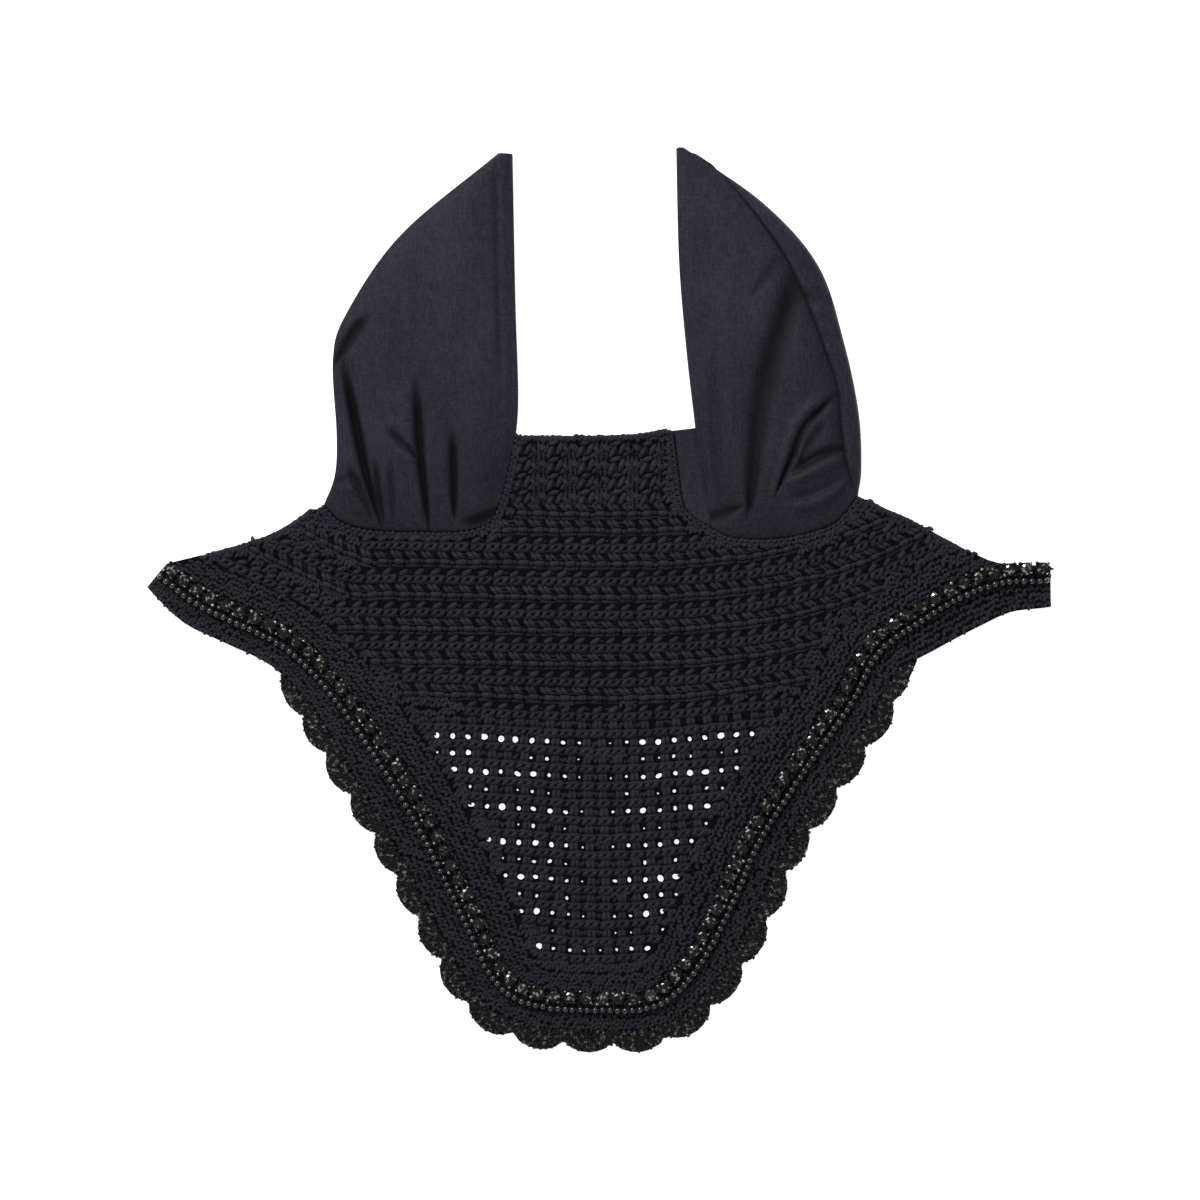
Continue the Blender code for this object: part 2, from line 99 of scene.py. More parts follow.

# Each ear's edges, as in the CAD, and its folds: the fold's line, its width, its depth, the ridge on its right and how
# much painted shade darkens it inside. The seam is where the right ear's back panel, turned over the front one, ends.
EARS = {
    "left": {
        "inner": [(-58, 41), (-53, 52), (-48, 72), (-44.5, 90), (-43.5, 112), (-45, 160), (-46.5, 237)],
        "outer": [(-147, 50), (-141, 66), (-140, 88), (-142, 128), (-135, 152), (-106, 194), (-54, 237.5)],
        "base": [(-58, 41), (-72, 36.5), (-95, 36), (-122, 37), (-138, 41.5), (-147, 50)],
        "poll_side": [(-44.5, 88), (-48, 72), (-53, 52), (-58, 41)],
        "hem": [(-71, 37), (-66, 60), (-62, 72)],
        "topstitch": 1.0,
        "folds": [
            ([(-139, 136), (-131.5, 102), (-124, 66.5), (-115.5, 37)], 2.5, 4.0, 0.8, 1.0),
            ([(-119.7, 78), (-118, 60), (-114.5, 40)], 1.8, 1.6, 0.6, 0.8),
            ([(-98, 122), (-95.2, 76.6), (-90.5, 35)], 2.3, 3.2, 0.6, 1.0),
            ([(-78.2, 92), (-77.2, 42)], 2.2, 2.4, 0.5, 1.0),
            ([(-114, 92), (-96.5, 75)], 2.2, 1.7, 0.3, 0.8),
            ([(-111.2, 76), (-109.6, 42)], 1.9, 1.2, 0.4, 0.6),
            ([(-76, 41), (-63, 43.5), (-50, 51)], 3.0, 1.8, 0.5, 0.95),
            ([(-122, 152), (-131, 142), (-142, 124)], 3.0, 2.1, 0.6, 0.95),
            ([(-136, 74), (-128, 60), (-121, 42)], 2.4, 1.8, 1.2, 0.7),
            ([(-144, 62), (-132, 64), (-126, 56)], 2.2, 1.4, 1.4, 0.5),
        ],
    },
    "right": {
        "inner": [(59, 38), (57, 54), (52, 80), (50, 97), (46, 132), (42, 180), (40.5, 240)],
        "outer": [(137, 55), (139, 70), (137.5, 100), (129.5, 138), (116, 178), (87, 211), (44.5, 240.5)],
        "seam": [
            (137, 55), (131.5, 74), (128.5, 95), (127, 112.5), (120.5, 132), (112, 155), (102.5, 176), (94, 190.5),
            (77, 213), (63, 228), (44.5, 240.5),
        ],
        "base": [(59, 38), (70, 33), (88, 32), (108, 34.5), (126, 41.5), (137, 55)],
        "poll_side": [(38.5, 90), (41, 70), (43.5, 52), (49, 44), (59, 38)],
        "hem": [(71, 34), (68, 60), (64, 74)],
        "topstitch": 0.25,
        "folds": [
            ([(109, 195), (100, 158), (91.5, 130), (84.4, 98), (79, 44)], 5.8, 3.2, 0.0, 0.8),
            ([(130, 113), (109.4, 93), (101.8, 75.6), (93, 56)], 1.8, 2.8, 1.5, 0.9),
            ([(97, 64), (113.8, 75.6), (129, 81), (142, 84.3)], 2.5, 2.6, 3.4, 0.9),
            ([(97, 52), (114, 57), (131, 65)], 2.3, 1.5, 2.2, 0.4),
            ([(98.5, 185), (81, 162)], 3.0, 1.0, 0.2, 0.4),
            ([(59.5, 132), (61, 90), (63, 46)], 3.2, 1.4, 0.3, 0.35),
            ([(121, 96), (112, 84), (106, 74)], 2.4, 1.4, 1.4, 0.5),
            ([(52, 46), (62, 45), (76, 50)], 2.8, 1.4, 0.6, 0.8),
        ],
    },
}
EAR_COLUMNS = 96
EAR_ROWS = 150
EDGE_STEPS = 60
# How far the sleeve swells at its base and at its tip, the height of its rim and the lowest that its folds sink.
EAR_PUFF = 8.0
EAR_TIP_PUFF = 2.4
EAR_RIM = 2.75
FOLD_FLOOR = 1.9
CLOTH_THICK = 0.7
# The ridge and the hollow that the topstitching draws, from the inner edge.
TOPSTITCH_RIDGE = 5.5
TOPSTITCH_HOLLOW = 9.5
# The turned edge: its rise, the width at which it rises fully, the share of it that is tucked under and its low edge.
TURNED_RISE = 3.0
TURNED_WIDTH = 7
TUCKED = 0.08
TURNED_LOW = 1.1
# Pinches of the turned edge: how far up they are, their reach and how far they lift it.
PINCHES = ((160, 2.0, -2.6), (165, 2.2, 2.4), (141, 2.6, -1.2), (119, 3, -1.0))
# The place of a bend line for the sleeve, how far above the lowest point of its base, and a length; the script
# computes it but bends nothing.
BEND_START = 10
BEND_LENGTH = 34
# The join's rows of stitches, each with its offset from the seam and its pitch, and the edges of its ground.
JOIN_ROWS = ((0.9, 3.0), (2.9, 3.4))
JOIN_EDGES = (1.0, 4.2)

# Double rows of stitches, counted down from the ears. The mesh starts below the yoke's rows in the middle and beside
# the last ones at its corners, and its holes end at its foot. Right of their bend the rows climb straight.
GROOVE_TOP = 35.1
YOKE_ROW = 17.7
MESH_ROW = 18.4
YOKE_ROWS = 6
YOKE_LEVELS = range(-2, 8)
MESH_CORNERS = range(4, YOKE_ROWS)
MESH_LEVELS = range(YOKE_ROWS, 14)
MESH_FOOT = -190
RIGHT_BEND = 178
STITCH = 8.35
STITCH_INSET = 1.6
HALF_CELL = (STITCH / 2 + 0.1, YOKE_ROW / 4 + 0.05)
POLL_HALF_CELL = (8.4, 4.4)
POLL_COLUMNS = (-41, -24.4, -7.6, 9, 25.4)
POLL_LINES = (79.6, 70.9, 62.2, 53.5)
FINE_STITCH = 3.9
EDGE_PITCH = 3.4
FILLER_ROW = 2.1
FILLER_STITCH = 3.1

# A pinhole's half width and half height where it is fully open, its place above its stitches, and what it keeps clear.
HOLE_WIDE = 1.65
HOLE_TALL = 1.5
HOLE_RISE = 2.8
HOLE_CELL = (2.6, 2.4)

# One stroke of yarn: its start and end in the stitch's own axes, how far its middle stands up, and its radius.
# The upper half of a double row, below its groove: a bump, then slanting loops over two strands.
UPPER_ROW = [
    ((-2.9, 0.7, 1.4), (1.8, 3.7, 1.3), 0.8, 1.6),
    ((-4.4, -0.2, 1.1), (4.4, 0.1, 1.1), 0.2, 1.25),
    ((-3.0, -3.2, 1.3), (-0.2, 0.4, 1.5), 0.8, 1.3),
    ((1.2, -3.2, 1.3), (4.0, 0.4, 1.5), 0.8, 1.3),
    ((-4.4, -3.2, 1.0), (4.4, -3.0, 1.0), 0.3, 1.3),
    ((-4.6, 2.5, 0.6), (4.6, 2.3, 0.6), 0.0, 0.95),
]
# The lower half: two slanting posts beside a slot, over a chain.
LOWER_ROW = [
    ((-4.8, 4.5, 1.2), (-1.0, 0.3, 1.2), 0.9, 1.25),
    ((-2.2, 4.5, 1.2), (1.6, 0.5, 1.2), 0.9, 1.25),
    ((-3.0, -1.0, 1.5), (3.1, -0.8, 1.5), 0.8, 1.7),
    ((2.7, -1.2, 1.2), (5.6, -1.0, 1.2), 0.4, 1.25),
    ((-4.4, -3.5, 0.8), (4.4, -3.4, 0.8), 0.2, 1.3),
    ((-4.6, 3.4, 0.7), (4.6, 3.2, 0.7), 0.0, 0.9),
    ((-4.6, 1.3, 0.7), (4.6, 1.2, 0.7), 0.0, 0.9),
]
# The open rows of the mesh: two posts beside each hole, over a chain.
OPEN_ROW = [
    ((-1.1, 4.9, 1.1), (-0.8, 0.4, 1.2), 0.9, 1.35),
    ((0.9, 4.9, 1.1), (1.4, 0.5, 1.2), 0.9, 1.25),
    ((-4.4, -0.4, 1.2), (4.4, -0.2, 1.2), 0.4, 1.3),
    ((-3.7, -3.2, 1.3), (-0.5, -0.5, 1.5), 0.7, 1.3),
    ((0.5, -3.2, 1.3), (3.8, -0.5, 1.5), 0.7, 1.3),
    ((-4.4, -3.2, 1.0), (4.4, -3.0, 1.0), 0.3, 1.25),
]
# The poll bridge: zigzag strands on both sides of a slanting slot.
POLL_STROKES = [
    ((-4.2, -3.9, 1.3), (-1.1, 2.0, 1.4), 0.9, 1.65),
    ((1.2, -2.4, 1.3), (4.1, 3.7, 1.4), 0.9, 1.6),
    ((-8.0, 3.4, 1.2), (-4.1, -1.0, 1.3), 0.8, 1.35),
    ((4.3, 2.4, 1.2), (8.2, -2.4, 1.3), 0.8, 1.35),
    ((-2.8, 3.2, 1.2), (2.4, 4.8, 1.2), 0.7, 1.5),
    ((-3.4, -0.6, 1.0), (-6.4, 3.0, 1.2), 0.7, 1.2),
    ((3.0, -3.9, 1.0), (6.2, -0.6, 1.2), 0.7, 1.2),
    ((-8.3, -5.2, 1.0), (-8.2, 5.2, 1.0), 0.3, 1.15),
    ((-6.0, -5.2, 1.0), (-5.8, 5.2, 1.0), 0.2, 1.25),
    ((5.9, -5.2, 1.0), (6.1, 5.2, 1.0), 0.2, 1.25),
    ((-0.4, -5.0, 0.7), (-0.6, 4.9, 0.7), 0.0, 1.1),
    ((-3.2, -5.0, 0.7), (-3.4, 4.9, 0.7), 0.0, 1.1),
    ((2.6, -5.0, 0.7), (2.4, 4.9, 0.7), 0.0, 1.1),
    ((8.2, -5.0, 0.7), (8.3, 4.9, 0.7), 0.0, 1.1),
]
# A fine stitch: two short strands that meet at their tops.
FINE_VEE = [
    ((-1.9, -1.5, 1.3), (0.4, 1.4, 1.3), 0.8, 1.1),
    ((1.9, -1.4, 1.2), (0.6, 1.5, 1.2), 0.7, 1.05),
]
# Most stitches are moved by chance this far, in millimetres, and turned this far, in radians.
SWAY = 0.22
LEAN = 0.09


def smooth(points, steps):
    """A Catmull-Rom curve through the points, with this many steps between each two."""
    points = [Vector(p) for p in points]
    points = [2 * points[0] - points[1]] + points + [2 * points[-1] - points[-2]]
    path = []
    for a, b, c, d in zip(points, points[1:], points[2:], points[3:]):
        for i in range(steps):
            t = i / steps
            path.append(
                0.5 * (2 * b + (c - a) * t + (2 * a - 5 * b + 4 * c - d) * t**2 + (3 * (b - c) + d - a) * t**3)
            )
    path.append(points[-2])
    return path


def outward(path, i):
    """The unit normal on the right of the path at this sample."""
    along = path[min(i + 1, len(path) - 1)] - path[max(i - 1, 0)]
    return Vector((along[1], -along[0])).normalized()


def shifted(path, reach):
    """The path moved along its normals. reach is a distance, or a function of the sample."""
    moved = []
    for i, sample in enumerate(path):
        distance = reach(sample) if callable(reach) else reach
        moved.append(Vector(sample[:2]) + distance * outward(path, i))
    return moved


def length_of(path):
    return sum((Vector(b[:2]) - Vector(a[:2])).length for a, b in zip(path, path[1:]))


def at_length(path, distance):
    """The place and the heading of the point this far along the path."""
    for a, b in zip(path, path[1:]):
        a, b = Vector(a[:2]), Vector(b[:2])
        step = (b - a).length
        if distance <= step:
            break
        distance -= step
    else:
        distance = step
    return a.lerp(b, distance / step), math.atan2(b.y - a.y, b.x - a.x)


def spaced(path, pitch):
    """Points along the path, as near to this far apart as whole steps allow."""
    total = length_of(path)
    count = max(2, round(total / pitch))
    return [at_length(path, total * (i + 0.5) / count)[0] for i in range(count)]


def inside(outline, point, margin):
    """Whether the point lies in the outline, at least this far from its edge."""
    odd, near = False, 1e9
    for a, b in zip(outline, outline[1:] + outline[:1]):
        if (a.y > point.y) != (b.y > point.y):
            odd ^= point.x < a.x + (point.y - a.y) * (b.x - a.x) / (b.y - a.y)
        along = b - a
        t = max(0, min(1, (point - a).dot(along) / max(along.length_squared, 1e-9)))
        near = min(near, (a + t * along - point).length)
    return (near if odd else -near) >= margin


def outline_of(node):
    """The outer edge of a flat CAD node's top face, anticlockwise, in millimetres."""
    work = bmesh.new()
    work.from_mesh(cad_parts[node].data)
    bmesh.ops.remove_doubles(work, verts=work.verts, dist=1e-6)
    work.normal_update()
    bmesh.ops.delete(work, geom=[f for f in work.faces if f.normal.z < 0.9], context="FACES")
    onward = {}
    for face in work.faces:
        for loop in face.loops:
            if loop.edge.is_boundary:
                onward[loop.vert.index] = loop.link_loop_next.vert
    places = {v.index: Vector(v.co.xy) / MM for v in work.verts}
    longest = []
    while onward:
        start, follower = onward.popitem()
        loop = [places[start]]
        while follower.index in onward:
            loop.append(places[follower.index])
            follower = onward.pop(follower.index)
        loop.append(places[follower.index])
        if length_of(loop) > length_of(longest):
            longest = loop
    work.free()
    if (longest[0] - longest[-1]).length < 1e-6:
        longest.pop()
    return longest


def grown(outline, distance):
    """The closed outline moved outward."""
    moved = []
    for i, place in enumerate(outline):
        along = outline[(i + 1) % len(outline)] - outline[i - 1]
        moved.append(place + distance * Vector((along.y, -along.x)).normalized())
    return moved


class Value:
    """A socket that may be used in sums, each of which adds a Math node to its tree."""

    def __init__(self, graph, socket):
        self.graph = graph
        self.socket = socket

    def sum(self, operation, *others):
        node = self.graph.node("ShaderNodeMath", {"operation": operation}, dict(enumerate([self, *others])))
        return self.graph.out(node)

    def __add__(self, other):
        return self.sum("ADD", other)

    def __sub__(self, other):
        return self.sum("SUBTRACT", other)

    def __rsub__(self, other):
        return self.sum("MULTIPLY_ADD", -1.0, other)

    def __mul__(self, other):
        return self.sum("MULTIPLY", other)

    def __truediv__(self, other):
        return self.sum("DIVIDE", other)

    def __pow__(self, other):
        return self.sum("POWER", other)

    __radd__ = __add__
    __rmul__ = __mul__


class Graph:
    """A node tree under construction."""

    def __init__(self, tree):
        self.tree = tree

    def node(self, kind, settings=None, sockets=None):
        """A node of this type. Its settings are set first, then its sockets' values or links."""
        made = self.tree.nodes.new(kind)
        for name, value in (settings or {}).items():
            setattr(made, name, value)
        for key, value in (sockets or {}).items():
            if isinstance(value, Value):
                self.tree.links.new(value.socket, made.inputs[key])
            else:
                made.inputs[key].default_value = value
        return made

    def out(self, node, key=0):
        return Value(self, node.outputs[key])

    def get(self, kind, settings=None, sockets=None, key=0):
        """The output of a new node."""
        return self.out(self.node(kind, settings, sockets), key)


# ---------------------------------------------------------------- materials


def finish(name, roughness, metallic=0.0, **constants):
    """A new Principled material, with its graph and its shader. Constants are set on the shader's own sockets."""
    made = bpy.data.materials.new(name)
    made.use_nodes = True
    shader = made.node_tree.nodes["Principled BSDF"]
    shader.inputs["Roughness"].default_value = roughness
    shader.inputs["Metallic"].default_value = metallic
    for socket, value in constants.items():
        shader.inputs[socket.replace("_", " ")].default_value = value
    return made, Graph(made.node_tree), shader


def place_of(graph, scale=(1, 1, 1), turn=0.0):
    """Object coordinates through a Mapping node, in millimetres when the scale is 1."""
    coordinates = graph.get("ShaderNodeTexCoord", key="Object")
    return graph.get(
        "ShaderNodeMapping", {},
        {"Vector": coordinates, "Rotation": (0, 0, turn), "Scale": tuple(s / MM for s in scale)},
    )


def grain(place, scale, detail=2.0, rough=0.5):
    """Noise around 0.5."""
    return place.graph.get(
        "ShaderNodeTexNoise", {}, {"Vector": place, "Scale": scale, "Detail": detail, "Roughness": rough}
    )


def blend_colour(share, one, other):
    """One colour where the share is 0 and the other where it is 1. A colour is a Value, or red, green and blue."""
    one, other = (colour if isinstance(colour, Value) else (*colour, 1) for colour in (one, other))
    return share.graph.get(
        "ShaderNodeMix", {"data_type": "RGBA"}, {"Factor": share, "A": one, "B": other}, key="Result"
    )


def carried(graph, name):
    """What the surface's points carry under this name."""
    return graph.get("ShaderNodeAttribute", {"attribute_name": name}, key="Fac")


def axis_of(place, axis):
    return place.graph.get("ShaderNodeSeparateXYZ", {}, {0: place}, key=axis)


def ramp(value, low, high):
    """The value stretched so that low becomes 0 and high becomes 1, clamped."""
    return value.graph.get("ShaderNodeMapRange", {}, {"Value": value, "From Min": low, "From Max": high})


def link(value, shader, socket):
    value.graph.tree.links.new(value.socket, shader.inputs[socket])


def bump(height, shader, strength, distance):
    made = height.graph.get(
        "ShaderNodeBump", {}, {"Height": height, "Strength": strength, "Distance": distance}, "Normal"
    )
    link(made, shader, "Normal")


def yarn_ply(graph, ply_length):
    """A wave that runs round and along a strand, from its own coordinates."""
    turns = carried(graph, "along") / ply_length + carried(graph, "around") * 2
    return turns.sum("MULTIPLY", math.tau).sum("SINE") * 0.5 + 0.5


def cotton_yarn():
    made, graph, shader = finish(
        "cotton yarn", 0.62, Specular_IOR_Level=0.2, Sheen_Weight=0.1, Sheen_Roughness=0.45,
        Sheen_Tint=(0.75, 0.8, 1, 1),
    )
    ply = yarn_ply(graph, 1.7 * MM)
    place = place_of(graph)
    mottle = grain(place, 0.05, 3.0)
    # Lower points of the strands are darker: painted shade, as if the stitches above shadowed them.
    height = ramp(axis_of(place, 2), 1.3, 3.3)
    share = ply * 0.2 + carried(graph, "tone") * 0.15 + mottle * 0.3 + height * 0.55 - 0.1
    hue = ramp(grain(place, 0.11, 2.0), 0.4, 0.6)
    light = blend_colour(hue, (0.0262, 0.0268, 0.0315), (0.0265, 0.0250, 0.0385))
    link(blend_colour(share, (0.0036, 0.0036, 0.0056), light), shader, "Base Color")
    fibres = grain(place, 2.2, 2.0)
    bump(ply * 0.75 + fibres * 0.45, shader, 0.7, 0.45 * MM)
    return made


def yarn_ground():
    made, graph, shader = finish("yarn ground", 0.95, Specular_IOR_Level=0.04)
    weave = grain(place_of(graph), 0.9, 2.0)
    # The ground is the yarn's own black made darker still: painted shade of the depths between the stitches.
    colour = blend_colour(weave, (0.0024, 0.0024, 0.0036), (0.0080, 0.0080, 0.0110))
    link(colour, shader, "Base Color")
    bump(weave, shader, 0.6, 0.5 * MM)
    return made


def lurex_yarn():
    made, graph, shader = finish("lurex yarn", 0.5, Specular_IOR_Level=0.15)
    place = place_of(graph)
    ply = yarn_ply(graph, 1.5 * MM)
    specks = ramp(grain(place, 0.38, 2.0, 0.6), 0.54, 0.68)
    dull = blend_colour(ply, (0.003, 0.003, 0.0038), (0.018, 0.018, 0.020))
    link(blend_colour(specks, dull, (0.175, 0.175, 0.18)), shader, "Base Color")
    link(specks * 0.8, shader, "Metallic")
    link(0.62 - specks * 0.3, shader, "Roughness")
    bump(ply + grain(place, 2.0), shader, 0.7, 0.5 * MM)
    return made


def ear_cloth():
    made, graph, shader = finish(
        "ear cloth", 0.6, Specular_IOR_Level=0.1, Sheen_Weight=0.03, Sheen_Roughness=0.4,
        Sheen_Tint=(0.8, 0.82, 1, 1),
    )
    warp = grain(place_of(graph, (0.9, 0.16, 1)), 1.0, 3.0, 0.65)
    weft = grain(place_of(graph, (0.2, 0.9, 1)), 1.0, 3.0, 0.65)
    speck = grain(place_of(graph), 0.8, 2.0, 0.6)
    weave = warp * 0.4 + weft * 0.25 + speck * 0.35
    cloud = grain(place_of(graph), 0.02, 3.0)
    share = ramp(weave * 0.8 + cloud * 0.2, 0.41, 0.59)
    colour = blend_colour(share, (0.0165, 0.0163, 0.0232), (0.0370, 0.0365, 0.0515))
    # Painted shade darkens the colour where the points carry it: in the folds, in the topstitch's hollow, towards the
    # sleeve's base, in a painted shadow line along its foot and in the turned edge's tuck.
    painted_shade_colour = blend_colour(carried(graph, "painted_shade"), colour, (0.0020, 0.0018, 0.0024))
    link(painted_shade_colour, shader, "Base Color")
    link(0.66 - weave * 0.16, shader, "Roughness")
    bump(weave, shader, 0.4, 0.4 * MM)
    return made


def smoky_stone():
    """Dark cut glass, with painted glints on it. They are more frequent at the wings and at the point."""
    made, graph, shader = finish("smoky stone", 0.08, IOR=1.33)
    # Noise, each stone's tone and its place along the trim paint light, metallic patches: painted glints and
    # reflections of the facets.
    facets = ramp(grain(place_of(graph), 0.5, 1.0), 0.53, 0.68)
    ends = ramp((axis_of(place_of(graph), 1) + 95).sum("ABSOLUTE"), 70, 115)
    painted_glint = ramp(carried(graph, "tone") * 0.2 + facets * 0.75 + ends * 0.25, 0.4, 1.05)
    colour = blend_colour(painted_glint, (0.010, 0.010, 0.010), (0.42, 0.41, 0.40))
    link(colour, shader, "Base Color")
    link(painted_glint * 0.7, shader, "Metallic")
    return made


def dark_metal(name, dark, light):
    made, graph, shader = finish(name, 0.22, 1.0)
    # Noise makes the metal lighter in places: on the settings a little wear, on the claws painted glints, since only
    # the lighter claws reflect the light brightly.
    wear_and_glint = grain(place_of(graph), 0.3, 2.0, 0.6)
    link(blend_colour(ramp(wear_and_glint, 0.5, 0.7), dark, light), shader, "Base Color")
    link(0.22 + wear_and_glint * 0.2, shader, "Roughness")
    return made


def jet_glass():
    made, graph, shader = finish("jet glass", 0.1, IOR=1.8, Coat_Weight=0.3, Coat_Roughness=0.06)
    tone = carried(graph, "tone")
    colour = blend_colour(tone, (0.002, 0.002, 0.002), (0.008, 0.008, 0.009))
    link(colour, shader, "Base Color")
    link(0.07 + tone * 0.1, shader, "Roughness")
    return made


# ---------------------------------------------------------------- stitches


def from_mesh(name, mesh, *slots):
    obj = bpy.data.objects.new(name, mesh)
    bpy.context.scene.collection.objects.link(obj)
    for each in slots:
        mesh.materials.append(each)
    return obj


def guide_rows(rows):
    """A mesh of open lines. Each row is a list of (place, width, height) with the place in millimetres."""
    verts, edges, wide, tall = [], [], [], []
    for row in rows:
        for i, (place, width, height) in enumerate(row):
            if i:
                edges.append((len(verts) - 1, len(verts)))
            verts.append((place[0] * MM, place[1] * MM, place[2] * MM if len(place) > 2 else 0))
            wide.append(width)
            tall.append(height)
    mesh = bpy.data.meshes.new("guide rows")
    mesh.from_pydata(verts, edges, [])
    for name, values in (("wide", wide), ("tall", tall)):
        mesh.attributes.new(name, "FLOAT", "POINT").data.foreach_set("value", values)
    return mesh


def new_tree(name, inputs):
    """A geometry tree with these inputs after its geometry, and the Value of each of them."""
    tree = bpy.data.node_groups.new(name, "GeometryNodeTree")
    for label, (kind, default) in {"Geometry": ("NodeSocketGeometry", None), **inputs}.items():
        made = tree.interface.new_socket(label, in_out="INPUT", socket_type=kind)
        if default is not None:
            made.default_value = default
    tree.interface.new_socket("Geometry", in_out="OUTPUT", socket_type="NodeSocketGeometry")
    graph = Graph(tree)
    entry = graph.node("NodeGroupInput")
    return graph, {s.name: graph.out(entry, s.name) for s in entry.outputs if s.name}


def store(graph, geometry, name, value, domain="POINT"):
    return graph.get(
        "GeometryNodeStoreNamedAttribute", {"data_type": "FLOAT", "domain": domain},
        {"Geometry": geometry, "Name": name, "Value": value},
    )


def stored(graph, name):
    return graph.get("GeometryNodeInputNamedAttribute", {"data_type": "FLOAT"}, {"Name": name})


def by_chance(graph, entry, low, high):
    """A number between the two for each point, or a vector if they are vectors."""
    if isinstance(low, Vector):
        kind, sockets, key = "FLOAT_VECTOR", {"Min": low, "Max": high}, 0
    else:
        kind, sockets, key = "FLOAT", {2: low, 3: high}, 1
    return graph.get("FunctionNodeRandomValue", {"data_type": kind}, {**sockets, "Seed": entry["Seed"]}, key)


def joined(graph, parts):
    join = graph.node("GeometryNodeJoinGeometry")
    for part in parts:
        graph.tree.links.new(part.socket, join.inputs[0])
    return graph.out(join)


def yarn_strokes(graph, strokes, entry):
    """The strokes of one stitch, each a tapered strand that carries how far along and around it each point is."""
    curves = []
    for start, end, rise, radius in strokes:
        start, end = Vector(start) * MM, Vector(end) * MM
        middle = (start + end) / 2 + Vector((0, 0, 2 * rise * MM))
        curve = graph.get(
            "GeometryNodeCurveQuadraticBezier", {},
            {"Resolution": entry["Steps"], "Start": start, "Middle": middle, "End": end},
        )
        curves.append(store(graph, curve, "thick", radius * MM))
    strand = joined(graph, curves)
    share = graph.get("GeometryNodeSplineParameter")
    taper = ((share * (1 - share)) * 4).sum("MAXIMUM", 0.0) ** 0.35 * 0.5 + 0.5
    strand = store(graph, strand, "along", graph.get("GeometryNodeSplineParameter", key="Length"))
    ring = graph.get("GeometryNodeCurvePrimitiveCircle", {}, {"Resolution": entry["Sides"], "Radius": 1.0})
    ring = store(graph, ring, "around", graph.get("GeometryNodeSplineParameter"))
    return graph.get(
        "GeometryNodeCurveToMesh", {},
        {"Curve": strand, "Profile Curve": ring, "Scale": stored(graph, "thick") * taper, "Fill Caps": True},
    )


def along_rows(graph, entry, stitch, sway=SWAY, lean=LEAN):
    """The stitch laid at every point of the guide rows, each a little turned, moved and scaled by chance."""
    rows = graph.get("GeometryNodeMeshToCurve", {}, {"Mesh": entry["Geometry"]})
    reach = Vector((sway, sway, sway / 2)) * MM
    rows = graph.get(
        "GeometryNodeSetPosition", {}, {"Geometry": rows, "Offset": by_chance(graph, entry, -reach, reach)}
    )
    heading = graph.get(
        "FunctionNodeAlignRotationToVector", {"axis": "X", "pivot_axis": "Z"},
        {"Vector": graph.get("GeometryNodeInputTangent")},
    )
    angles = Vector((min(lean, 0.1), min(lean, 0.1), lean))
    leaning = graph.get("FunctionNodeEulerToRotation", {}, {0: by_chance(graph, entry, -angles, angles)})
    turned = graph.get(
        "FunctionNodeRotateRotation", {"rotation_space": "LOCAL"}, {"Rotation": heading, "Rotate By": leaning}
    )
    size = by_chance(graph, entry, 0.95, 1.05)
    scale = graph.get(
        "ShaderNodeCombineXYZ", {}, {0: stored(graph, "wide") * size, 1: stored(graph, "tall") * size, 2: size}
    )
    laid = graph.get(
        "GeometryNodeInstanceOnPoints", {},
        {"Points": rows, "Instance": stitch, "Rotation": turned, "Scale": scale},
    )
    laid = store(graph, laid, "tone", by_chance(graph, entry, 0.0, 1.0), "INSTANCE")
    return graph.get("GeometryNodeRealizeInstances", {}, {"Geometry": laid})


def leave(graph, geometry, entry, smooth_shading=True):
    """The tree's end: shading, material and output."""
    shaded = graph.get(
        "GeometryNodeSetShadeSmooth", {}, {"Geometry": geometry, "Shade Smooth": smooth_shading}
    )
    finished = graph.get("GeometryNodeSetMaterial", {}, {"Geometry": shaded, "Material": entry["Material"]})
    graph.node("NodeGroupOutput", {}, {0: finished})
    return graph.tree


def stitch_tree(name, strokes, sway=SWAY, lean=LEAN):
    graph, entry = new_tree(
        name,
        {
            "Steps": ("NodeSocketInt", 4),
            "Sides": ("NodeSocketInt", 5),
            "Seed": ("NodeSocketInt", 1),
            "Material": ("NodeSocketMaterial", None),
        },
    )
    return leave(graph, along_rows(graph, entry, yarn_strokes(graph, strokes, entry), sway, lean), entry)


def applied(obj):
    """The object's mesh as its curve or its modifiers make it."""
    bpy.context.view_layer.update()
    return bpy.data.meshes.new_from_object(obj.evaluated_get(bpy.context.evaluated_depsgraph_get()))


def lay(name, tree, rows, seed, material):
    """What the tree makes of the guide rows, as a new object."""
    guide = guide_rows(rows)
    obj = from_mesh(name, guide)
    modifier = obj.modifiers.new(name, "NODES")
    modifier.node_group = tree
    values = {"Seed": seed, "Material": material}
    for item in tree.interface.items_tree:
        if item.in_out == "INPUT" and item.name in values:
            modifier[item.identifier] = values[item.name]
    mesh = applied(obj)
    bpy.data.objects.remove(obj, do_unlink=True)
    bpy.data.meshes.remove(guide)
    mesh.name = name
    return from_mesh(name, mesh)


def merged(name, pieces):
    """One object of several, with what their points carry."""
    first = pieces[0]
    chosen = {"selected_editable_objects": pieces, "selected_objects": pieces}
    if len(pieces) > 1:
        with bpy.context.temp_override(active_object=first, object=first, **chosen):
            bpy.ops.object.join()
    first.name = first.data.name = name
    return first


# ---------------------------------------------------------------- the net


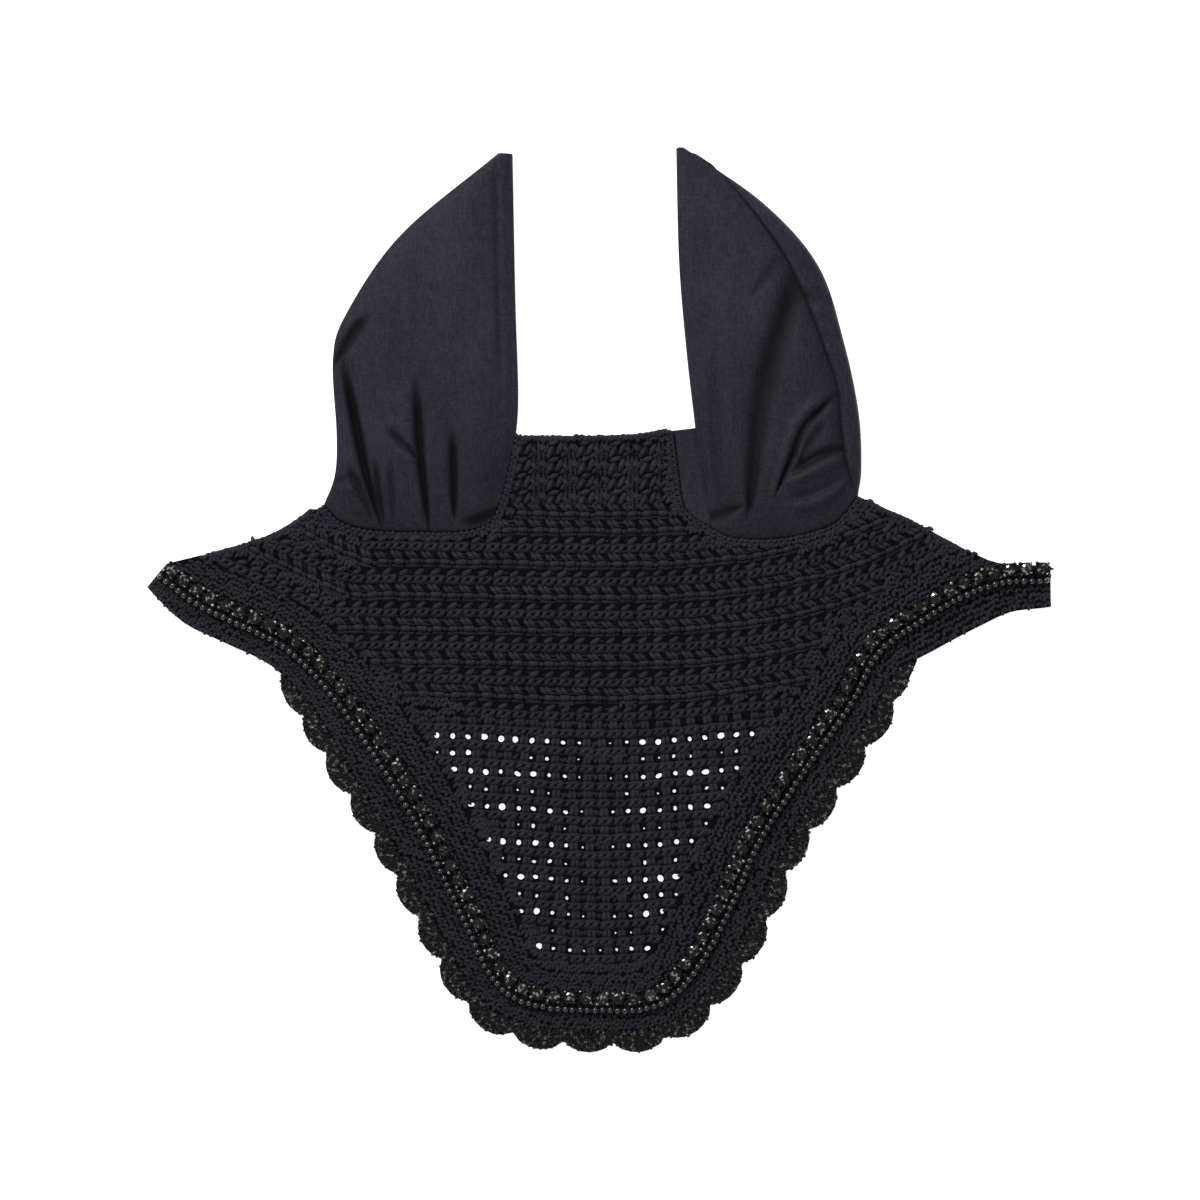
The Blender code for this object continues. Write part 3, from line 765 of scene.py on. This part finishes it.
def groove(level, x):
    """The height of the groove above this double row, which climbs toward the wings and sags in the middle."""
    yoke, mesh = min(level, YOKE_ROWS), max(0, level - YOKE_ROWS)
    y = GROOVE_TOP - YOKE_ROW * yoke - MESH_ROW * mesh
    upper = max(0.25, min(1, (y + 80) / 45))
    right = 6.4 * (min(max(x, 0), RIGHT_BEND) / 100) ** 3 + max(0, x - RIGHT_BEND) * 0.5
    left = 0.47 * max(0, -x - 125 - 0.5 * (GROOVE_TOP - y))
    sag = min(1, max(0, (level - 3) / 3))
    dip = (1.7 + 3.8 * sag) * math.exp(-((x / (75 - 13 * sag - 3.5 * mesh)) ** 2))
    return y + upper * right + left + 2.2 * sag - dip


def runs(entries, shortest=2):
    """The unbroken runs of the entries, which are None where a stitch has no room."""
    rows = [[]]
    for entry in entries:
        if entry is None:
            rows.append([])
        else:
            rows[-1].append(entry)
    return [row for row in rows if len(row) >= shortest]


def single_row(outline, level, half, margin=STITCH_INSET, reach=3.2):
    """Guide rows for the upper (0) or lower (1) half of a double row, where its stitches lie inside the outline."""
    period = YOKE_ROW if level < YOKE_ROWS else MESH_ROW
    path = [Vector((x, groove(level, x) - period * (0.25 + 0.5 * half))) for x in range(-240, 241, 4)]
    entries = []
    for place in spaced(path, STITCH):
        room = all(inside(outline, place + Vector((side, 0)), margin) for side in (-reach, 0, reach))
        entries.append((place, 1.0, period / YOKE_ROW) if room else None)
    return runs(entries)


def double_rows(outline, levels, halves=(0, 1)):
    return [row for level in levels for half in halves for row in single_row(outline, level, half)]


def filler_rows(outline, cells, margin=0.9):
    """Guide rows of fine stitches for what the cells leave bare. cells are lists of guide rows and their half size."""
    taken = [(place, size) for rows, size in cells for row in rows for place, _, _ in row]
    low, high = min(p.y for p in outline), max(p.y for p in outline)
    left, right = min(p.x for p in outline), max(p.x for p in outline)
    rows = []
    for j in range(int((high - low) / FILLER_ROW) + 1):
        entries = []
        for i in range(int((right - left) / FILLER_STITCH) + 1):
            spot = Vector((left + (i + 0.5 * (j % 2)) * FILLER_STITCH, low + j * FILLER_ROW))
            bare = all(abs(spot.x - p.x) > w or abs(spot.y - p.y) > h for p, (w, h) in taken)
            entries.append((spot, 1.0, 1.0) if bare and inside(outline, spot, margin) else None)
        rows += runs(entries, 1)
    beside_it = Vector((FILLER_STITCH / 3, 0))
    return [row if len(row) > 1 else [row[0], (row[0][0] + beside_it, 1.0, 1.0)] for row in rows]


def mesh_holes(outline):
    """The pinholes between the stitches: place, half sizes and turn. They nearly close in the middle, where fine
    stitches, given as guide rows, fill those that are shut, as they do in the rows beside the mesh's corners."""
    chance = random.Random(7)
    holes, shut = [], []
    for level in (*MESH_LEVELS, *MESH_CORNERS):
        for half in (0, 1):
            for row in single_row(outline, level, half, -2.5, 0):
                for (place, _, _), (following, _, _) in zip(row, row[1:]):
                    spot = place.lerp(following, 0.5)
                    spot += Vector((chance.uniform(-0.5, 0.5), HOLE_RISE + chance.uniform(-0.5, 0.5)))
                    open_share = min(1, 0.22 + abs(spot.x + 3) / 36) * chance.uniform(0.62, 1.12)
                    if half:
                        open_share *= chance.choice((0, 0.35, 0.5, 0.6, 0.8))
                    shape = chance.uniform(0.82, 1.2)
                    if not inside(outline, spot, STITCH_INSET):
                        continue
                    if open_share > 0.28 and level in MESH_LEVELS and spot.y > MESH_FOOT:
                        turn = chance.uniform(-0.6, 0.6)
                        wide, tall = HOLE_WIDE * open_share * shape, HOLE_TALL * open_share / shape
                        holes.append((spot, wide, tall, turn))
                    else:
                        shut.append([((spot.x + side, spot.y, -0.6), 0.8, 0.9) for side in (-1.2, 1.2)])
    return holes, shut


def ring_round(spot, wide, tall, turn):
    """An uneven oval of 12 points."""
    ring = []
    for i in range(12):
        angle = math.tau * i / 12
        reach = 1 + 0.22 * noise.noise(Vector((spot.x, spot.y, 3 + 0.9 * math.cos(angle))))
        x, y = wide * reach * math.cos(angle), tall * reach * math.sin(angle)
        across, up = x * math.cos(turn) - y * math.sin(turn), x * math.sin(turn) + y * math.cos(turn)
        ring.append(spot + Vector((across, up)))
    return ring


def drawn(curve, lines, height=0.0, closed=False):
    """The mesh of a curve that runs through these lines of places at this height."""
    for line in lines:
        spline = curve.splines.new("POLY")
        spline.points.add(len(line) - 1)
        for point, place in zip(spline.points, line):
            point.co = (place.x * MM, place.y * MM, height * MM, 1)
        spline.use_cyclic_u = closed
    obj = bpy.data.objects.new(curve.name, curve)
    bpy.context.scene.collection.objects.link(obj)
    mesh = applied(obj)
    bpy.data.objects.remove(obj, do_unlink=True)
    return mesh


def ground(name, outline, low, high, holes, material):
    """A thin flat sheet with these holes, such as the dark ground that a crocheted piece's stitches stand on, whose
    darkness is painted shade between the stitches.
    """
    curve = bpy.data.curves.new(name, "CURVE")
    curve.dimensions = "2D"
    curve.fill_mode = "BOTH"
    curve.extrude = (high - low) / 2 * MM
    mesh = drawn(curve, [outline, *(ring_round(*hole) for hole in holes)], closed=True)
    mesh.transform(Matrix.Translation((0, 0, (low + high) / 2 * MM)))
    work = bmesh.new()
    work.from_mesh(mesh)
    bmesh.ops.remove_doubles(work, verts=work.verts, dist=1e-6)
    bmesh.ops.recalc_face_normals(work, faces=work.faces)
    work.to_mesh(mesh)
    work.free()
    mesh.name = name
    return from_mesh(name, mesh, material)


def flat_size(outline):
    """The width and length of the outline's box and the area inside it, in metres and square metres."""
    xs, ys = [p.x * MM for p in outline], [p.y * MM for p in outline]
    area = abs(sum(a.x * b.y - a.y * b.x for a, b in zip(outline, outline[1:] + outline[:1]))) / 2 * MM * MM
    return (max(xs) - min(xs), max(ys) - min(ys)), area


def crocheted(node, name, core, parts, outline, holes=(), strip=None):
    """Finishes a crocheted piece of these rows of stitches: it makes the ground under them, joins the stitches into
    one object, attaches both to the net and hides the CAD node. For a strip that was worked along a curve, strip is
    its greatest width and its length, in millimetres."""
    spill, low, high = GROUNDS[name]
    base = ground(f"{name}_ground", grown(outline, spill), low, high, holes, core)
    stitches = merged(f"{name}_stitches", parts)
    for piece in (base, stitches):
        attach(piece, "net")
    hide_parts(node)
    flat, area = flat_size(outline)
    if strip:
        flat = (strip[0] * MM, strip[1] * MM)


def fine_rows(paths, outline, margin, pitch=FINE_STITCH):
    """Guide rows of fine stitches along the paths, where they lie inside the outline."""
    rows = []
    for path, tall in paths:
        places = spaced(path, pitch)
        rows += runs([(place, 1.0, tall) if inside(outline, place, margin) else None for place in places])
    return rows


def make_net(yarn, core):
    upper = stitch_tree("upper row of stitches", UPPER_ROW)
    lower = stitch_tree("lower row of stitches", LOWER_ROW)
    open_row = stitch_tree("open row of stitches", OPEN_ROW)
    poll = stitch_tree("poll stitches", POLL_STROKES)
    fine = stitch_tree("fine stitches", FINE_VEE)
    loose = stitch_tree("loose fine stitches", FINE_VEE, 0.6, 0.55)

    def edging(paths):
        lines = [(shifted(smooth(path, 4), 1.2), 1.0) for path in paths]
        return fine_rows(lines, outline, 0.5, EDGE_PITCH)

    outline = outline_of("forehead_yoke")
    uppers, lowers = (double_rows(outline, YOKE_LEVELS, (half,)) for half in (0, 1))
    filler = filler_rows(outline, [(uppers + lowers, HALF_CELL)])
    parts = [
        lay("yoke upper", upper, uppers, 11, yarn),
        lay("yoke lower", lower, lowers, 12, yarn),
        lay("yoke filler", loose, filler, 13, yarn),
        lay("yoke edges", fine, edging([WING_LEFT, WING_RIGHT]), 14, yarn),
    ]
    crocheted("forehead_yoke", "yoke", core, parts, outline)

    outline = outline_of("forehead_mesh")
    rows = double_rows(outline, (*MESH_CORNERS, *MESH_LEVELS))
    holes, shut = mesh_holes(outline)
    filler = filler_rows(outline, [(rows, HALF_CELL), ([[hole[:1] * 3] for hole in holes], HOLE_CELL)])
    parts = [lay("mesh rows", open_row, rows, 15, yarn), lay("mesh filler", loose, filler + shut, 16, yarn)]
    crocheted("forehead_mesh", "mesh", core, parts, outline, holes)

    outline = outline_of("poll_bridge")
    cells = []
    for y in POLL_LINES:
        places = [Vector((x, y)) for x in POLL_COLUMNS]
        cells.append([(place, 1.0, 1.0) for place in places if inside(outline, place, -3)])
    foot = double_rows(outline, (-1,), (1, 0))
    parts = [
        lay("poll cells", poll, cells, 17, yarn),
        lay("poll foot", lower, foot, 18, yarn),
        lay("poll filler", loose, filler_rows(outline, [(cells, POLL_HALF_CELL), (foot, HALF_CELL)]), 19, yarn),
        lay("poll edge", fine, edging([POLL_TOP]), 20, yarn),
    ]
    crocheted("poll_bridge", "poll", core, parts, outline)

    trim = smooth(TRIM, TRIM_STEPS)
    for node, name, edge, count, inset, seed in BANDS:
        outline = outline_of(node)
        paths = []
        for j in range(count):
            share = (j + 0.5) / count
            paths.append((shifted(trim, lambda sample: BAND_SPLIT + share * (edge(sample) - BAND_SPLIT)), 0.9))
        parts = [lay(name, loose, fine_rows(paths, outline, inset), seed, yarn)]
        strip = (max(abs(edge(sample) - BAND_SPLIT) for sample in TRIM), length_of(trim))
        crocheted(node, name, core, parts, outline, strip=strip)


def make_scallops(yarn, core):
    """The edging: rows of short stitches that follow its scallops, over a ground."""
    outline = outline_of("scalloped_edging")
    insets = [grown(outline, -depth) for depth in SHELL_ROWS]
    rows = fine_rows([(inset + inset[:1], 1.0) for inset in insets], outline, 1.1, 2.9)
    parts = [lay("scallop", stitch_tree("shell stitches", FINE_VEE, 0.4, 0.4), rows, 23, yarn)]
    strip = (SCALLOP_FOOT + SCALLOP_DEPTH, SCALLOPS * (SCALLOP_PITCH + SCALLOP_GROWTH * SCALLOPS))
    crocheted("scalloped_edging", "scallop", core, parts, outline, strip=strip)


# ---------------------------------------------------------------- crystals and beads

CRYSTAL_PITCH = 8.5
BEAD_PITCH = 3.95
BEAD_OFFSET = 6.2
BEAD_RADIUS = 1.85


def trim_row(offset, pitch, height):
    line = shifted(smooth(TRIM, TRIM_STEPS), offset)
    return [((place.x, place.y, height), 1.0, 1.0) for place in spaced(line, pitch)]


def simple_tree(name, shape, smooth_shading=True):
    """A tree that lays one shape along the guide rows. shape makes the geometry from the graph."""
    graph, entry = new_tree(name, {"Seed": ("NodeSocketInt", 1), "Material": ("NodeSocketMaterial", None)})
    return leave(graph, along_rows(graph, entry, shape(graph)), entry, smooth_shading)


def moved(graph, geometry, place, scale=(1, 1, 1), turn=0.0):
    return graph.get(
        "GeometryNodeTransform", {},
        {"Geometry": geometry, "Translation": Vector(place) * MM, "Rotation": (0, 0, turn), "Scale": scale},
    )


def cone(graph, sides, top, bottom, depth):
    return graph.get(
        "GeometryNodeMeshCone", {},
        {"Vertices": sides, "Radius Top": top * MM, "Radius Bottom": bottom * MM, "Depth": depth * MM},
    )


def setting_shape(graph):
    """A square cup and its link to the next cup."""
    cup = cone(graph, 4, 4.6, 3.9, 1.5)
    bar = graph.get("GeometryNodeMeshCube", {}, {"Size": Vector((3.2, 1.1, 0.8)) * MM})
    return joined(graph, [moved(graph, cup, (0, 0, 0), turn=math.pi / 4), moved(graph, bar, (4.25, 0, 0.4))])


def claw_shape(graph):
    """The four claws of a setting, one at each corner."""
    claw = graph.get("GeometryNodeMeshIcoSphere", {}, {"Radius": 1.05 * MM, "Subdivisions": 2})
    places = [(x, y, 2.0) for x in (-2.75, 2.75) for y in (-2.75, 2.75)]
    return joined(graph, [moved(graph, claw, place, (1.0, 1.0, 0.75)) for place in places])


def stone_shape(graph):
    """A cut stone: a flat table, a crown of eight facets and a girdle."""
    crown = cone(graph, 8, 2.0, 2.9, 0.42)
    girdle = cone(graph, 8, 2.9, 2.6, 0.9)
    return joined(graph, [moved(graph, girdle, (0, 0, 1.2)), moved(graph, crown, (0, 0, 2.1))])


def bead_shape(graph):
    bead = graph.get("GeometryNodeMeshUVSphere", {}, {"Segments": 12, "Rings": 8, "Radius": BEAD_RADIUS * MM})
    return moved(graph, bead, (0, 0, 0), (0.94, 1, 1))


def make_trim(stone, metal, claw_metal, jet, yarn):
    bead_height = NET_TOP + BEAD_RADIUS
    set_row = trim_row(0, CRYSTAL_PITCH, NET_TOP)
    bead_row = trim_row(BEAD_OFFSET, BEAD_PITCH, bead_height)
    pieces = []
    for name, label, shape, smooth_shading, row, seed, material in (
        ("crystal_settings", "claw settings", setting_shape, False, set_row, 21, metal),
        ("crystal_claws", "claws", claw_shape, True, set_row, 21, claw_metal),
        ("crystal_stones", "cut stones", stone_shape, False, set_row, 22, stone),
        ("black_beads", "beads", bead_shape, True, bead_row, 23, jet),
    ):
        pieces.append(lay(name, simple_tree(label, shape, smooth_shading), [row], seed, material))
    curve = bpy.data.curves.new("bead_thread", "CURVE")
    curve.dimensions = "3D"
    curve.bevel_depth = 0.45 * MM
    curve.bevel_resolution = 2
    curve.use_fill_caps = True
    line = shifted(smooth(TRIM, TRIM_STEPS), BEAD_OFFSET)
    pieces.append(from_mesh("bead_thread", drawn(curve, [line], bead_height), yarn))
    for piece, slot in zip(pieces, ("smoky_crystal", "smoky_crystal", "smoky_crystal", "jet_bead", "jet_bead")):
        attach(piece, "net")
    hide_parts("crystal_chain")
    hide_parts("bead_string")


# ---------------------------------------------------------------- ear sleeves


def coons(inner, outer, base, tip, u, v):
    """A point of the patch between four edge curves. u runs from inner to outer, and v from base to tip."""

    def on(path, t):
        place = t * (len(path) - 1)
        i = min(int(place), len(path) - 2)
        return Vector(path[i]).lerp(Vector(path[i + 1]), place - i)

    corners = (1 - u) * (1 - v) * on(base, 0) + u * (1 - v) * on(base, 1)
    corners += (1 - u) * v * on(tip, 0) + u * v * on(tip, 1)
    return (1 - v) * on(base, u) + v * on(tip, u) + (1 - u) * on(inner, v) + u * on(outer, v) - corners


def even(points, count):
    """The smooth curve through the points, sampled at equal steps of its length."""
    path = smooth(points, 8)
    total = length_of(path)
    return [at_length(path, total * i / count)[0] for i in range(count + 1)]


def beside(path, point):
    """How far the point is to the right of the path, and its share of the way along it."""
    best, total, run = (1e9, 0), length_of(path), 0
    for a, b in zip(path, path[1:]):
        along = b - a
        t = max(0, min(1, (point - a).dot(along) / along.length_squared))
        offset = point - (a + t * along)
        if offset.length < abs(best[0]):
            turn = along.x * offset.y - along.y * offset.x
            best = (math.copysign(offset.length, -turn), (run + t * along.length) / total)
        run += along.length
    return best


def fold_terms(folds, point):
    """How far the folds lift or lower the cloth at this point, and how much painted shade darkens it there."""
    height = shade = 0
    for path, width, depth, ridge, dark in folds:
        distance, share = beside(path, point)
        if abs(distance) > 7 * width:
            continue
        width *= 0.3 + 0.95 * max(0, math.sin(math.pi * min(1, share + 0.05))) ** 0.7
        strength = min(1, share / 0.25) * min(1, (1 - share) / 0.06 + 0.35)
        hollow = math.exp(-((distance / width) ** 2))
        height -= depth * strength * hollow
        height += ridge * strength * math.exp(-(((distance - 1.9 * width) / (1.3 * width)) ** 2))
        shade = max(shade, dark * strength**0.7 * math.exp(-(abs(distance / width) ** 2.8)))
    return height, shade


def ear_surface(ear, u, v, edges):
    """A point of the sleeve's upper side, in millimetres, and the painted shade there: in its folds, in the
    topstitch's hollow, towards its base and along its foot.
    """
    place = coons(*edges, u, v)
    puff = EAR_PUFF * (1 - v) + EAR_TIP_PUFF * v
    rise = puff * (1 - abs(2 * u - 1) ** 3.2) ** 0.9 * math.sin(min(1, v / 0.24) * math.pi / 2) ** 0.75
    wave = noise.noise(Vector((place.x / 17, place.y / 60, 3.1)))
    wave += noise.noise(Vector((place.x / 7, place.y / 30, 8.4))) * 0.3
    free = min(1, 8 * u, 8 * (1 - u), 12 * v + 0.15)
    folded, shade = fold_terms(ear["smooth_folds"], place)
    inset = abs(place.x - edges[0][round(v * (len(edges[0]) - 1))].x)
    stitched = ear["topstitch"] * min(1, max(0, (v - 0.3) * 5)) * min(1, (1 - v) * 9)
    ridge = math.exp(-(((inset - TOPSTITCH_RIDGE) / 1.6) ** 2))
    ridge -= 1.1 * math.exp(-(((inset - TOPSTITCH_HOLLOW) / 1.7) ** 2))
    # Painted shade in the topstitch's hollow, a little more towards the sleeve's base, and a painted shadow line along
    # its foot.
    shade = max(shade, 0.4 * stitched * math.exp(-(((inset - TOPSTITCH_HOLLOW) / 1.6) ** 2)))
    shade = max(shade, 0.2 * (1 - v) ** 1.5, 0.9 * math.exp(-v / 0.008))
    height = EAR_RIM + rise + free * (folded + wave) + 0.5 * stitched * ridge
    return Vector((place.x, place.y, max(height, FOLD_FLOOR))), shade


def turned_edge(u, v, edges):
    """A point of the back panel where it is turned over the front one, from the seam to the outer edge, and the
    painted shade there, darkest in the tuck under the seam and fading beside it.
    """
    seam, outer = (path[round(v * (len(path) - 1))] for path in edges)
    # The tucked part is dark with painted shade.
    if u < TUCKED / 2:
        return Vector((seam.x - 2.6, seam.y, 1.5)), 0.9
    full = min(1, (outer - seam).length / TURNED_WIDTH)
    share = max(0, u - TUCKED) / (1 - TUCKED)
    place = seam.lerp(outer, share)
    wave = noise.noise(Vector((place.x / 6, place.y / 16, 5.5))) * 0.8
    for middle, reach, lift in PINCHES:
        wave += lift * math.exp(-(((place.y - middle) / reach) ** 2))
    arch = (1 - share**2.4) ** 0.6
    height = TURNED_LOW + (EAR_RIM + TURNED_RISE * full - TURNED_LOW + wave * full) * arch
    # Painted shade beside the seam fades towards the outer edge.
    return Vector((place.x, place.y, height)), max(0, 0.7 - 7 * (u - TUCKED / 2)) * full


def grid_mesh(name, columns, rows, place_at):
    """A grid, faces up. place_at(u, v) gives each point, in millimetres, and the painted shade there, which the grid
    carries.
    """
    places = [place_at(i / columns, j / rows) for j in range(rows + 1) for i in range(columns + 1)]
    verts = [place * MM for place, _ in places]
    faces = []
    for j in range(rows):
        for i in range(columns):
            a = j * (columns + 1) + i
            faces.append((a, a + 1, a + columns + 2, a + columns + 1))
    mesh = bpy.data.meshes.new(name)
    mesh.from_pydata(verts, [], faces)
    mesh.attributes.new("painted_shade", "FLOAT", "POINT").data.foreach_set("value", [shade for _, shade in places])
    work = bmesh.new()
    work.from_mesh(mesh)
    bmesh.ops.remove_doubles(work, verts=work.verts, dist=2e-5)
    bmesh.ops.recalc_face_normals(work, faces=work.faces)
    if sum(face.normal.z * face.calc_area() for face in work.faces) < 0:
        bmesh.ops.reverse_faces(work, faces=work.faces)
    work.to_mesh(mesh)
    work.free()
    mesh.shade_smooth()
    return mesh


def thickened(obj, thickness):
    """Gives a sheet its thickness, below its upper side."""
    modifier = obj.modifiers.new("thickness", "SOLIDIFY")
    modifier.thickness = thickness * MM
    modifier.offset = -1
    mesh = applied(obj)
    obj.modifiers.remove(modifier)
    obj.data = mesh
    return obj


def make_ear(hand, ear, cloth, core, yarn, fine):
    sign = 1 if ear["outer"][0][0] > 0 else -1
    ear["smooth_folds"] = [(smooth(path, 6), *rest) for path, *rest in ear["folds"]]
    inner, outer, base = (even(ear[key], EDGE_STEPS) for key in ("inner", "outer", "base"))
    edge = even(ear["seam"], EDGE_STEPS) if "seam" in ear else outer
    edges = (inner, edge, base, [inner[-1], edge[-1]])
    surface = grid_mesh("front", EAR_COLUMNS, EAR_ROWS, lambda u, v: ear_surface(ear, u, v, edges))
    front = from_mesh(f"ear_front_{hand}_cloth", surface, cloth)
    thickened(front, CLOTH_THICK)

    inner_run = [p for p in inner if p.y > ear["poll_side"][0][1]]
    outer_run = [p for p in outer if p.y > ear["hem"][-1][1]]
    poll_edge = smooth(ear["poll_side"], 3)
    outline = inner_run[::-1] + poll_edge + [Vector(p) for p in ear["hem"]] + outer_run
    back = ground(f"ear_back_{hand}_cloth", outline, 0.2, 1.1, [], cloth)
    if "seam" in ear:
        surface = grid_mesh("turned edge", 12, 120, lambda u, v: turned_edge(u, v, (edge, outer)))
        strip = from_mesh("turned edge", surface, cloth)
        back = merged(f"ear_back_{hand}_cloth", [back, thickened(strip, CLOTH_THICK)])

    bend = (min(y for _, y in ear["base"]) + BEND_START) * MM
    for piece, node in ((front, f"ear_front_{hand}"), (back, f"ear_back_{hand}")):
        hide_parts(node)
        bend + BEND_LENGTH * MM
        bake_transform(piece)
    whole = inner + outer[::-1] + base[::-1]
    flat, area = flat_size(whole)
    flat, area = flat_size(outline)

    seam = smooth(ear["poll_side"], 3)[:-1] + smooth(ear["base"], 3)
    rows = []
    for offset, pitch in JOIN_ROWS:
        rows.append([((p.x, p.y, 0.3), 1.0, 0.9) for p in spaced(shifted(seam, sign * offset), pitch)])
    join = lay("join", fine, rows, 30 + sign, yarn)
    toward_ear, toward_net = JOIN_EDGES
    band = shifted(seam, -sign * toward_ear) + shifted(seam, sign * toward_net)[::-1]
    join = merged(f"ear_join_{hand}_stitches", [join, ground("join ground", band, 0.6, 1.15, [], core)])
    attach(join, "net")
    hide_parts(f"ear_join_{hand}")


# ---------------------------------------------------------------- stage


def make_stage():
    mesh = bpy.data.meshes.new("floor")
    mesh.from_pydata([(-4, -4, 0), (4, -4, 0), (4, 4, 0), (-4, 4, 0)], [], [(0, 1, 2, 3)])
    made, _, _ = finish(
        "pale floor", 0.9, Specular_IOR_Level=0.0, Base_Color=(0.86, 0.86, 0.86, 1), Emission_Color=(1, 1, 1, 1),
        Emission_Strength=0.8,
    )
    from_mesh("floor", mesh, made)

    world = bpy.data.worlds.new("studio")
    world.use_nodes = True
    sky = world.node_tree.nodes["Background"].inputs
    sky["Color"].default_value = (1, 1, 1, 1)
    sky["Strength"].default_value = 0.42
    bpy.context.scene.world = world

    light = bpy.data.lights.new("key light", "AREA")
    light.size = 0.6
    light.energy = 26
    obj = bpy.data.objects.new("key light", light)
    obj.location = KEY_LIGHT
    obj.rotation_euler = (-Vector(KEY_LIGHT)).to_track_quat("-Z", "Y").to_euler()
    bpy.context.scene.collection.objects.link(obj)
    bpy.context.scene.view_settings.view_transform = "Standard"


def make_camera():
    """Straight above the bonnet, with a long lens."""
    data = bpy.data.cameras.new("camera")
    data.sensor_width = 36
    data.lens = data.sensor_width * CAMERA_HEIGHT / VIEW_WIDTH
    data.clip_start, data.clip_end = 0.1, 20
    obj = bpy.data.objects.new("camera", data)
    obj.location = (0, 0, CAMERA_HEIGHT)
    bpy.context.scene.collection.objects.link(obj)
    bpy.context.scene.camera = obj


def main():
    make_camera()
    make_stage()
    yarn, core, lurex, cloth = cotton_yarn(), yarn_ground(), lurex_yarn(), ear_cloth()
    make_net(yarn, core)
    make_scallops(lurex, core)
    settings = dark_metal("gunmetal settings", (0.02, 0.02, 0.02), (0.09, 0.088, 0.082))
    # The claws' light patches are painted glints.
    claws = dark_metal("claws with painted glints", (0.008, 0.008, 0.007), (0.60, 0.56, 0.50))
    make_trim(smoky_stone(), settings, claws, jet_glass(), yarn)
    fine = stitch_tree("join stitches", FINE_VEE)
    for hand, ear in EARS.items():
        make_ear(hand, ear, cloth, core, yarn, fine)


main()
